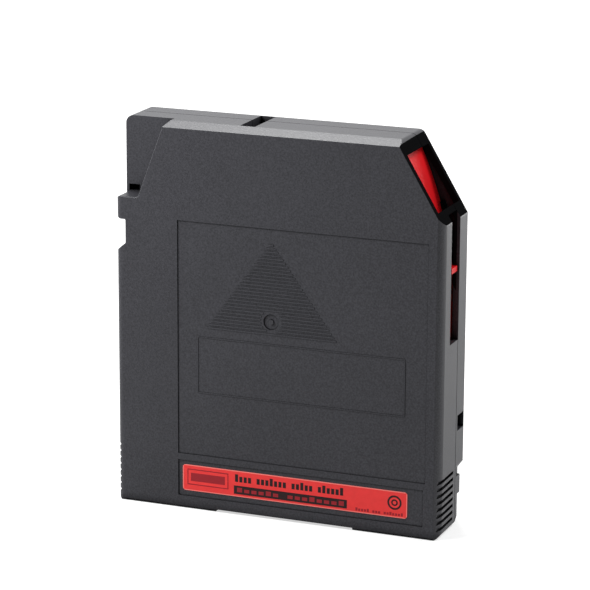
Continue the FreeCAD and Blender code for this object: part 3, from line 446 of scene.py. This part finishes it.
def add_ring(bm, outer, inner, y0, y1):
    """One of the flat printed rings, which share their middle."""
    steps = 48
    x, z = RING_CENTRE
    loops = []
    for radius, y in ((outer, y0), (inner, y0), (inner, y1), (outer, y1)):
        loop = []
        for i in range(steps):
            turn = 2 * math.pi * i / steps
            loop.append(bm.verts.new(((x + radius * math.cos(turn)) * MM, y,
                                      (z + radius * math.sin(turn)) * MM)))
        loops.append(loop)
    for a in range(4):
        one, two = loops[a], loops[(a + 1) % 4]
        for i in range(steps):
            j = (i + 1) % steps
            bm.faces.new((one[i], one[j], two[j], two[i]))


def add_field(bm, y0, y1):
    """Outlined rectangle with a solid one inside it."""
    left, right, foot, top = FIELD
    line = FIELD_LINE
    beside, above = FIELD_STRIPS
    add_plate(bm, (left, right, foot, foot + line), y0, y1)
    add_plate(bm, (left, right, top - line, top), y0, y1)
    add_plate(bm, (left, left + line, foot + line, top - line), y0, y1)
    add_plate(bm, (right - line, right, foot + line, top - line), y0, y1)
    add_plate(bm, (left + beside, right - beside, foot + above, top - above), y0, y1)


class CARTRIDGE_OT_label(bpy.types.Operator):
    """Label film and its print"""
    bl_idname = "cartridge.label"
    bl_label = "Label"

    def execute(self, context):
        looks = context.scene.cartridge_label
        dress(label_film(looks), "front_label")
        ink = printing_ink("screen_ink_dark", looks.ink)
        faint = printing_ink("screen_ink_faint", looks.faint_ink)
        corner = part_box("front_label")[0]
        face, foot = corner.y - looks.ink_height, corner.y + INK_ROOT

        meshes = {name: bmesh.new() for name in (
            "label_band", "label_line", "label_band_line", "label_small_line", "label_ring", "label_field")}
        add_plate(meshes["label_band"], BAND, face, foot)
        add_groups(meshes["label_line"], MAIN_GROUPS, MAIN_LINE, face, foot)
        add_groups(meshes["label_band_line"], BAND_GROUPS, BAND_LINE, face - looks.ink_height, face)
        add_groups(meshes["label_small_line"], SMALL_GROUPS, SMALL_LINE, face, foot)
        for outer, inner in RING_RADII:
            add_ring(meshes["label_ring"], outer, inner, face, foot)
        add_field(meshes["label_field"], face, foot)

        dark = ("label_band", "label_line", "label_ring")
        for name, bm in meshes.items():
            bmesh.ops.translate(bm, vec=(corner.x, 0, corner.z), verts=bm.verts)
            piece_from(bm, name, ink if name in dark else faint, "case")
        return {"FINISHED"}


# ---------------------------------------------------------------- door and slider

# How much rougher the slider is than the door
SLIDER_ROUGHER = 0.08


def satin_red(name, looks, roughness):
    """Red acetal with a satin mould face: clean colour, soft wide highlight."""
    material, tree = new_material(name)
    place = add(tree, "ShaderNodeTexCoord")
    # the mould's etched grain is about 0.1 mm wide; drawn at 0.4 mm so that it shows
    grain = add(tree, "ShaderNodeTexNoise", inputs={
        "Vector": place.outputs["Object"], "Scale": 1 / (0.4 * MM), "Detail": 2.0})
    # the melt leaves soft flow marks about 8 mm wide
    flow = add(tree, "ShaderNodeTexNoise", inputs={
        "Vector": place.outputs["Object"], "Scale": 1 / (8 * MM), "Detail": 1.0, "Distortion": 0.6})
    base = mottled(tree, looks.red, flow.outputs["Fac"], darkest=0.93, palest=1.06)
    rough = add(tree, "ShaderNodeMapRange", inputs={
        "Value": grain.outputs["Fac"], "To Min": roughness - 0.05, "To Max": roughness + 0.08})
    soft = add(tree, "ShaderNodeBevel", {"samples": 4}, {"Radius": looks.edge_radius})
    bump = add(tree, "ShaderNodeBump", inputs={
        "Height": grain.outputs["Fac"], "Strength": 0.5, "Distance": 0.01 * MM, "Normal": soft.outputs[0]})
    shader = add(tree, "ShaderNodeBsdfPrincipled", inputs={
        "Base Color": base, "Roughness": rough.outputs[0], "IOR": 1.48, "Specular IOR Level": 0.12,
        "Normal": bump.outputs[0]})
    add(tree, "ShaderNodeOutputMaterial", inputs={"Surface": shader.outputs[0]})
    return material


class CARTRIDGE_OT_door(bpy.types.Operator):
    """Tape door and write protection slider"""
    bl_idname = "cartridge.door"
    bl_label = "Door and slider"

    def execute(self, context):
        looks = context.scene.cartridge_door
        dress(satin_red("acetal_red_satin", looks, looks.roughness), "door")
        dress(satin_red("acetal_red_slider", looks, looks.roughness + SLIDER_ROUGHER), "write_protect_slider")
        return {"FINISHED"}


# ---------------------------------------------------------------- reel

def filled_plastic(name, tint, fleck, roughness, grain_width):
    """Moulded plastic with glass fibres or mould grain: matt, with pale flecks.

    Both are really 0.1 to 0.2 mm wide; grain_width is larger where they have to show.
    """
    material, tree = new_material(name)
    place = add(tree, "ShaderNodeTexCoord")
    grain = add(tree, "ShaderNodeTexNoise", inputs={
        "Vector": place.outputs["Object"], "Scale": 1 / grain_width, "Detail": 3.0})
    base = mottled(tree, tint, grain.outputs["Fac"], 1 - fleck, 1 + fleck)
    rough = add(tree, "ShaderNodeMapRange", inputs={
        "Value": grain.outputs["Fac"], "To Min": roughness - 0.06, "To Max": roughness + 0.1})
    bump = add(tree, "ShaderNodeBump", inputs={
        "Height": grain.outputs["Fac"], "Strength": 0.5, "Distance": 0.015 * MM})
    shader = add(tree, "ShaderNodeBsdfPrincipled", inputs={
        "Base Color": base, "Roughness": rough.outputs[0], "IOR": 1.53, "Normal": bump.outputs[0]})
    add(tree, "ShaderNodeOutputMaterial", inputs={"Surface": shader.outputs[0]})
    return material


def turned_about_reel(tree, spacing):
    """Height of fine uneven rings about the reel's axis, about one spacing apart."""
    place = add(tree, "ShaderNodeTexCoord")
    low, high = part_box("hub_plate")
    centre = (low + high) / 2
    moved = add(tree, "ShaderNodeVectorMath", {"operation": "SUBTRACT"},
                {0: place.outputs["Object"], 1: (centre.x, 0, centre.z)})
    flat = add(tree, "ShaderNodeVectorMath", {"operation": "MULTIPLY"}, {0: moved.outputs[0], 1: (1, 0, 1)})
    radius = add(tree, "ShaderNodeVectorMath", {"operation": "LENGTH"}, {0: flat.outputs[0]})
    count = add(tree, "ShaderNodeMath", {"operation": "MULTIPLY"},
                {0: radius.outputs["Value"], 1: 1 / spacing})
    lines = add(tree, "ShaderNodeTexNoise", {"noise_dimensions": "1D"},
                {"W": count.outputs[0], "Scale": 1.0, "Detail": 3.0, "Roughness": 0.7})
    return lines.outputs["Fac"]


def wound_tape(looks):
    """Metal-particle tape on edge: near black brown, with the fine lines of its turns."""
    material, tree = new_material("wound_magnetic_tape")
    # one turn is about 0.01 mm thick; drawn at 0.5 mm so that the lines show
    lines = turned_about_reel(tree, looks.winding)
    base = mottled(tree, looks.tape, lines, darkest=0.7, palest=1.35)
    bump = add(tree, "ShaderNodeBump", inputs={"Height": lines, "Strength": 0.5, "Distance": 0.02 * MM})
    shader = add(tree, "ShaderNodeBsdfPrincipled", inputs={
        "Base Color": base, "Roughness": 0.28, "IOR": 1.55, "Normal": bump.outputs[0]})
    add(tree, "ShaderNodeOutputMaterial", inputs={"Surface": shader.outputs[0]})
    return material


def clear_flange():
    """Clear polycarbonate disc: nearly colourless, a little hazy from fine scuffs."""
    material, tree = new_material("clear_polycarbonate")
    place = add(tree, "ShaderNodeTexCoord")
    # the scuffs lie in patches about 3 mm wide
    scuffs = add(tree, "ShaderNodeTexNoise", inputs={
        "Vector": place.outputs["Object"], "Scale": 1 / (3 * MM), "Detail": 4.0})
    haze = add(tree, "ShaderNodeMapRange", inputs={
        "Value": scuffs.outputs["Fac"], "From Min": 0.4, "From Max": 0.7, "To Min": 0.08, "To Max": 0.22})
    shader = add(tree, "ShaderNodeBsdfPrincipled", inputs={
        "Base Color": colour("#dfe3e2"), "Roughness": haze.outputs[0], "IOR": 1.585,
        "Transmission Weight": 0.9})
    add(tree, "ShaderNodeOutputMaterial", inputs={"Surface": shader.outputs[0]})
    return material


def turned_steel(name, tint, spacing, roughness):
    """Stamped and ground steel: tool rings about the reel's axis, coarser than real so that they show."""
    material, tree = new_material(name)
    lines = turned_about_reel(tree, spacing)
    rough = add(tree, "ShaderNodeMapRange", inputs={
        "Value": lines, **NOISE_SPAN, "To Min": roughness - 0.07, "To Max": roughness + 0.1})
    bump = add(tree, "ShaderNodeBump", inputs={"Height": lines, "Strength": 0.4, "Distance": 0.01 * MM})
    shader = add(tree, "ShaderNodeBsdfPrincipled", inputs={
        "Base Color": tint, "Metallic": 1.0, "Roughness": rough.outputs[0], "Normal": bump.outputs[0]})
    add(tree, "ShaderNodeOutputMaterial", inputs={"Surface": shader.outputs[0]})
    return material


class CARTRIDGE_OT_reel(bpy.types.Operator):
    """Hub, flanges, washer and wound tape"""
    bl_idname = "cartridge.reel"
    bl_label = "Reel"

    def execute(self, context):
        looks = context.scene.cartridge_reel
        grey = filled_plastic("glass_filled_polycarbonate_grey", looks.hub, fleck=0.10, roughness=0.5,
                              grain_width=0.5 * MM)
        dress(grey, "reel_hub")
        dress(clear_flange(), "upper_flange")
        washer = turned_steel("ground_steel_washer", colour("#b9bbbd"), spacing=0.25 * MM, roughness=0.3)
        dress(washer, "hub_plate")
        dress(wound_tape(looks), "tape_pack")
        return {"FINISHED"}


class CARTRIDGE_OT_brake(bpy.types.Operator):
    """Brake button and release pad"""
    bl_idname = "cartridge.brake"
    bl_label = "Brake"

    def execute(self, context):
        white = filled_plastic("acetal_natural_white", colour("#dcdad2"), fleck=0.04, roughness=0.42,
                               grain_width=0.8 * MM)
        dress(white, "brake_button")
        grey = filled_plastic("acetal_grey", colour("#6f7375"), fleck=0.05, roughness=0.42,
                              grain_width=0.8 * MM)
        dress(grey, "release_pad")
        return {"FINISHED"}


# ---------------------------------------------------------------- metal and small parts

def drawn_steel(name, tint, roughness, mark_width):
    """Drawn, plated or polished steel: fine marks, coarser than real, and small differences in shine."""
    material, tree = new_material(name)
    place = add(tree, "ShaderNodeTexCoord")
    marks = add(tree, "ShaderNodeTexNoise", inputs={
        "Vector": place.outputs["Object"], "Scale": 1 / mark_width, "Detail": 3.0})
    rough = add(tree, "ShaderNodeMapRange", inputs={
        "Value": marks.outputs["Fac"], **NOISE_SPAN, "To Min": roughness - 0.06,
        "To Max": roughness + 0.12})
    bump = add(tree, "ShaderNodeBump", inputs={
        "Height": marks.outputs["Fac"], "Strength": 0.3, "Distance": 0.005 * MM})
    shader = add(tree, "ShaderNodeBsdfPrincipled", inputs={
        "Base Color": tint, "Metallic": 1.0, "Roughness": rough.outputs[0], "Normal": bump.outputs[0]})
    add(tree, "ShaderNodeOutputMaterial", inputs={"Surface": shader.outputs[0]})
    return material


def compression_spring(name, node, steel, axis, turns, wire):
    """Round-wire coil in a CAD spring's place, from its fixed end on the case to the moved body's end.

    The axis is 1 for y or 2 for z, and wire is its thickness.
    """
    low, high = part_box(node)
    middle = (low + high) / 2
    radius = (high.x - low.x - wire) / 2
    foot, top = low[axis] + wire / 2, high[axis] - wire / 2
    # rings in a turn, corners of a ring, and the turns that lie flat at each end
    steps, sides, closed = 24, 10, 0.5
    bm = bmesh.new()
    rings = []
    for i in range(round(turns * steps) + 1):
        turned = i / steps
        rise = min(max((turned - closed) / (turns - 2 * closed), 0), 1)
        angle = 2 * math.pi * turned
        ring = []
        for k in range(sides):
            around = 2 * math.pi * k / sides
            out = radius + wire / 2 * math.cos(around)
            spot = middle.copy()
            spot[axis] = foot + (top - foot) * rise + wire / 2 * math.sin(around)
            # the coil turns in the plane of x and whichever of y and z isn't its axis
            spot[0] += out * math.cos(angle)
            spot[3 - axis] += out * math.sin(angle)
            ring.append(bm.verts.new(spot))
        rings.append(ring)
    for one, two in zip(rings, rings[1:]):
        for k in range(sides):
            j = (k + 1) % sides
            bm.faces.new((one[k], one[j], two[j], two[k]))
    bm.faces.new(rings[0])
    bm.faces.new(rings[-1][::-1])
    for face in bm.faces:
        face.smooth = True
    piece = piece_mesh(bm, name, steel)
    start, end = middle.copy(), middle.copy()
    start[axis], end[axis] = low[axis], high[axis]
    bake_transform(piece)
    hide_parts(node)


class CARTRIDGE_OT_springs(bpy.types.Operator):
    """Coils under the tape door and the brake, and the flat springs at the leader pin"""
    bl_idname = "cartridge.springs"
    bl_label = "Springs"

    def execute(self, context):
        steel = drawn_steel("drawn_spring_steel", colour("#8e9194"), roughness=0.3, mark_width=0.3 * MM)
        dress(steel, "pin_springs")
        compression_spring("door_coil", "door_spring", steel, axis=2, turns=7, wire=0.5 * MM)
        compression_spring("brake_coil", "brake_spring", steel, axis=1, turns=3.5, wire=0.7 * MM)
        return {"FINISHED"}


class CARTRIDGE_OT_metal(bpy.types.Operator):
    """Screws and leader pin"""
    bl_idname = "cartridge.metal"
    bl_label = "Screws and pin"

    def execute(self, context):
        zinc = drawn_steel("zinc_plated_steel", colour("#a9acb0"), roughness=0.36, mark_width=0.4 * MM)
        dress(zinc, "case_screws")
        bright = drawn_steel("polished_stainless_pin", colour("#c3c5c7"), roughness=0.18,
                             mark_width=0.5 * MM)
        dress(bright, "leader_pin")
        return {"FINISHED"}


def leader_film():
    """Polyester leader: thin, glossy and smoke grey."""
    material, tree = new_material("polyester_leader_film")
    place = add(tree, "ShaderNodeTexCoord")
    # the film cups very slightly across its width: waves about 5 mm long
    wave = add(tree, "ShaderNodeTexNoise", inputs={
        "Vector": place.outputs["Object"], "Scale": 1 / (5 * MM), "Detail": 1.0})
    bump = add(tree, "ShaderNodeBump", inputs={
        "Height": wave.outputs["Fac"], "Strength": 0.5, "Distance": 0.02 * MM})
    shader = add(tree, "ShaderNodeBsdfPrincipled", inputs={
        "Base Color": colour("#3a3633"), "Roughness": 0.16, "IOR": 1.64, "Normal": bump.outputs[0]})
    add(tree, "ShaderNodeOutputMaterial", inputs={"Surface": shader.outputs[0]})
    return material


class CARTRIDGE_OT_leader(bpy.types.Operator):
    """Tape leader and its clip"""
    bl_idname = "cartridge.leader"
    bl_label = "Leader"

    def execute(self, context):
        dress(leader_film(), "tape_leader")
        black = filled_plastic("acetal_black", colour("#1b1b1c"), fleck=0.08, roughness=0.38,
                               grain_width=0.5 * MM)
        dress(black, "leader_clip")
        return {"FINISHED"}


def solder_mask():
    """Green solder mask over a glass-fibre board: glossy, with copper tracks showing through."""
    material, tree = new_material("solder_mask_green")
    place = add(tree, "ShaderNodeTexCoord")
    # tracks 0.4 mm wide on a 1.6 mm pitch
    tracks = add(tree, "ShaderNodeTexBrick", {"offset": 0.5}, {
        "Vector": place.outputs["Object"], "Scale": 1 / (1.6 * MM), "Color1": (0, 0, 0, 1),
        "Color2": (0, 0, 0, 1), "Mortar": (1, 1, 1, 1), "Mortar Size": 0.12, "Brick Width": 3.0,
        "Row Height": 1.0})
    base = add(tree, "ShaderNodeMix", {"data_type": "RGBA"},
               {0: tracks.outputs["Color"], COLOUR_A: colour("#0f4a2c"), COLOUR_B: colour("#2c7a4a")})
    bump = add(tree, "ShaderNodeBump", inputs={
        "Height": tracks.outputs["Color"], "Strength": 0.6, "Distance": 0.035 * MM})
    shader = add(tree, "ShaderNodeBsdfPrincipled", inputs={
        "Base Color": base.outputs[COLOUR_OUT], "Roughness": 0.25, "IOR": 1.55,
        "Normal": bump.outputs[0]})
    add(tree, "ShaderNodeOutputMaterial", inputs={"Surface": shader.outputs[0]})
    return material


class CARTRIDGE_OT_memory(bpy.types.Operator):
    """Memory board and chip"""
    bl_idname = "cartridge.memory"
    bl_label = "Memory"

    def execute(self, context):
        dress(solder_mask(), "memory_board")
        epoxy = filled_plastic("moulded_epoxy_black", colour("#202122"), fleck=0.15, roughness=0.55,
                               grain_width=0.2 * MM)
        dress(epoxy, "memory_chip")
        return {"FINISHED"}


# ---------------------------------------------------------------- stage

# The camera stands to the right of the labelled face and looks down on it
CAMERA_AZIMUTH = math.radians(21.574)
CAMERA_ELEVATION = math.radians(14.626)
CAMERA_ROLL = math.radians(0.306)
CAMERA_DISTANCE = 916.4 * MM
CAMERA_AIM = Vector((0.0, 0.0, 62.5 * MM))
# How far the camera is moved to its right and up
CAMERA_SHIFT = (1.713 * MM, 8.023 * MM)
# Focal length and width of the film, which Blender takes in millimetres
CAMERA_LENS = 177.3
SENSOR_WIDTH = 36
NEAREST_VIEW = 10 * MM

# Softboxes: place, the point that each aims at, width and height, in metres
SOFTBOXES = {
    "overhead": ((-0.24, 0.51, 0.69), (0, 0, 0.11), 0.25, 0.2),
    "side": ((0.30, 0.25, 0.50), (0.05, 0, 0.09), 0.2, 0.2),
    "front": ((-0.19, -0.16, 0.30), (-0.03, 0, 0.09), 0.14, 0.14),
    "rear": ((0.36, 0.70, 0.06), (0.055, 0, 0.06), 0.3, 0.12),
}

# Distances from the object at which the floor's glow starts and stops growing, and how strong it is there
GLOW_FROM, GLOW_TO = 0.3, 0.9
GLOW_NEAR, GLOW_FAR = 0.6, 1.0


def camera_axes():
    """Unit vectors of the camera: to its right, up, and back away from the object."""
    az, el, roll = CAMERA_AZIMUTH, CAMERA_ELEVATION, CAMERA_ROLL
    back = Vector((math.sin(az) * math.cos(el), -math.cos(az) * math.cos(el), math.sin(el)))
    level = Vector((math.cos(az), math.sin(az), 0))
    upright = back.cross(level)
    right = level * math.cos(roll) + upright * math.sin(roll)
    up = upright * math.cos(roll) - level * math.sin(roll)
    return right, up, back


def softbox(name, place, aim, width, height, power):
    """Rectangular area light that points at aim."""
    lamp = bpy.data.lights.new(name, "AREA")
    lamp.shape = "RECTANGLE"
    lamp.size, lamp.size_y = width, height
    lamp.energy = power
    light = bpy.data.objects.new(name, lamp)
    light.location = place
    light.rotation_euler = (Vector(aim) - Vector(place)).to_track_quat("-Z", "Y").to_euler()
    bpy.context.scene.collection.objects.link(light)


def in_view(tree):
    """1 for what the camera sees directly, in a reflection or through clear plastic, and otherwise 0."""
    rays = add(tree, "ShaderNodeLightPath")
    seen = rays.outputs["Is Camera Ray"]
    for kind in ("Is Glossy Ray", "Is Transmission Ray"):
        seen = add(tree, "ShaderNodeMath", {"operation": "MAXIMUM"},
                   {0: seen, 1: rays.outputs[kind]}).outputs[0]
    return seen


def floor_card(setup):
    """Matt pale card. To the camera it glows, more with distance, so that it runs out to plain white."""
    material, tree = new_material("matt_pale_card")
    place = add(tree, "ShaderNodeTexCoord")
    # paper fibres are finer; drawn at 1.5 mm so that they show
    fibre = add(tree, "ShaderNodeTexNoise", inputs={
        "Vector": place.outputs["Object"], "Scale": 1 / (1.5 * MM), "Detail": 3.0})
    bump = add(tree, "ShaderNodeBump", inputs={
        "Height": fibre.outputs["Fac"], "Strength": 0.2, "Distance": 0.02 * MM})
    card = add(tree, "ShaderNodeBsdfPrincipled", inputs={
        "Base Color": setup.floor, "Roughness": 0.9, "Specular IOR Level": 0.1, "Normal": bump.outputs[0]})
    away = add(tree, "ShaderNodeVectorMath", {"operation": "LENGTH"}, {0: place.outputs["Object"]})
    strength = add(tree, "ShaderNodeMapRange", inputs={
        "Value": away.outputs["Value"], "From Min": GLOW_FROM, "From Max": GLOW_TO, "To Min": GLOW_NEAR,
        "To Max": GLOW_FAR})
    glow = add(tree, "ShaderNodeEmission", inputs={"Strength": strength.outputs[0]})
    dark = add(tree, "ShaderNodeEmission", inputs={"Strength": 0.0})
    lift = add(tree, "ShaderNodeMixShader",
               inputs={0: in_view(tree), 1: dark.outputs[0], 2: glow.outputs[0]})
    both = add(tree, "ShaderNodeAddShader", inputs={0: card.outputs[0], 1: lift.outputs[0]})
    add(tree, "ShaderNodeOutputMaterial", inputs={"Surface": both.outputs[0]})
    return material


class CARTRIDGE_OT_stage(bpy.types.Operator):
    """Floor, lights, surroundings and camera"""
    bl_idname = "cartridge.stage"
    bl_label = "Stage"

    def execute(self, context):
        setup = context.scene.cartridge_stage
        bm = bmesh.new()
        bmesh.ops.create_circle(bm, cap_ends=True, segments=96, radius=setup.floor_radius)
        mesh = bpy.data.meshes.new("floor")
        bm.to_mesh(mesh)
        bm.free()
        mesh.materials.append(floor_card(setup))
        floor = bpy.data.objects.new("floor", mesh)
        context.scene.collection.objects.link(floor)

        world = bpy.data.worlds.new("surroundings")
        context.scene.world = world
        world.use_nodes = True
        tree = world.node_tree
        tree.nodes.clear()
        strength = add(tree, "ShaderNodeMapRange",
                       inputs={"Value": in_view(tree), "To Min": setup.surround, "To Max": 1.0})
        sky = add(tree, "ShaderNodeBackground",
                  inputs={"Color": (1, 1, 1, 1), "Strength": strength.outputs[0]})
        add(tree, "ShaderNodeOutputWorld", inputs={"Surface": sky.outputs[0]})

        for name, setting in SOFTBOXES.items():
            softbox(name + "_softbox", *setting, getattr(setup, name))

        right, up, back = camera_axes()
        place = CAMERA_AIM + back * CAMERA_DISTANCE + right * CAMERA_SHIFT[0] + up * CAMERA_SHIFT[1]
        lens = bpy.data.cameras.new("camera")
        lens.sensor_width = SENSOR_WIDTH
        lens.lens = CAMERA_LENS
        lens.clip_start = NEAREST_VIEW
        camera = bpy.data.objects.new("camera", lens)
        turned = Matrix((right, up, back)).transposed().to_4x4()
        camera.matrix_world = Matrix.Translation(place) @ turned
        context.scene.collection.objects.link(camera)
        context.scene.camera = camera
        context.scene.view_settings.view_transform = "Standard"
        return {"FINISHED"}


# ---------------------------------------------------------------- add-on

OPERATORS = (
    CARTRIDGE_OT_case, CARTRIDGE_OT_label, CARTRIDGE_OT_door, CARTRIDGE_OT_reel, CARTRIDGE_OT_brake,
    CARTRIDGE_OT_springs, CARTRIDGE_OT_metal, CARTRIDGE_OT_leader, CARTRIDGE_OT_memory, CARTRIDGE_OT_stage,
)
SETTINGS = {
    "cartridge_case": CaseFinish,
    "cartridge_label": LabelFinish,
    "cartridge_door": DoorFinish,
    "cartridge_reel": ReelFinish,
    "cartridge_stage": StageSetup,
}


class CARTRIDGE_PT_looks(bpy.types.Panel):
    """Settings and steps of the cartridge's looks"""
    bl_idname = "CARTRIDGE_PT_looks"
    bl_label = "Tape Cartridge"
    bl_space_type = "VIEW_3D"
    bl_region_type = "UI"
    bl_category = "Cartridge"

    def draw(self, context):
        for name, group in SETTINGS.items():
            box = self.layout.box()
            for prop in group.__annotations__:
                box.prop(getattr(context.scene, name), prop)
        for operator in OPERATORS:
            self.layout.operator(operator.bl_idname)


def register():
    for cls in (*SETTINGS.values(), *OPERATORS, CARTRIDGE_PT_looks):
        bpy.utils.register_class(cls)
    for name, group in SETTINGS.items():
        setattr(bpy.types.Scene, name, PointerProperty(type=group))


def unregister():
    for name in SETTINGS:
        delattr(bpy.types.Scene, name)
    for cls in (CARTRIDGE_PT_looks, *reversed(OPERATORS), *reversed(SETTINGS.values())):
        bpy.utils.unregister_class(cls)


def main():
    register()
    bpy.ops.cartridge.case()
    bpy.ops.cartridge.label()
    bpy.ops.cartridge.door()
    bpy.ops.cartridge.reel()
    bpy.ops.cartridge.brake()
    bpy.ops.cartridge.springs()
    bpy.ops.cartridge.metal()
    bpy.ops.cartridge.leader()
    bpy.ops.cartridge.memory()
    bpy.ops.cartridge.stage()


if __name__ == "__main__":
    main()
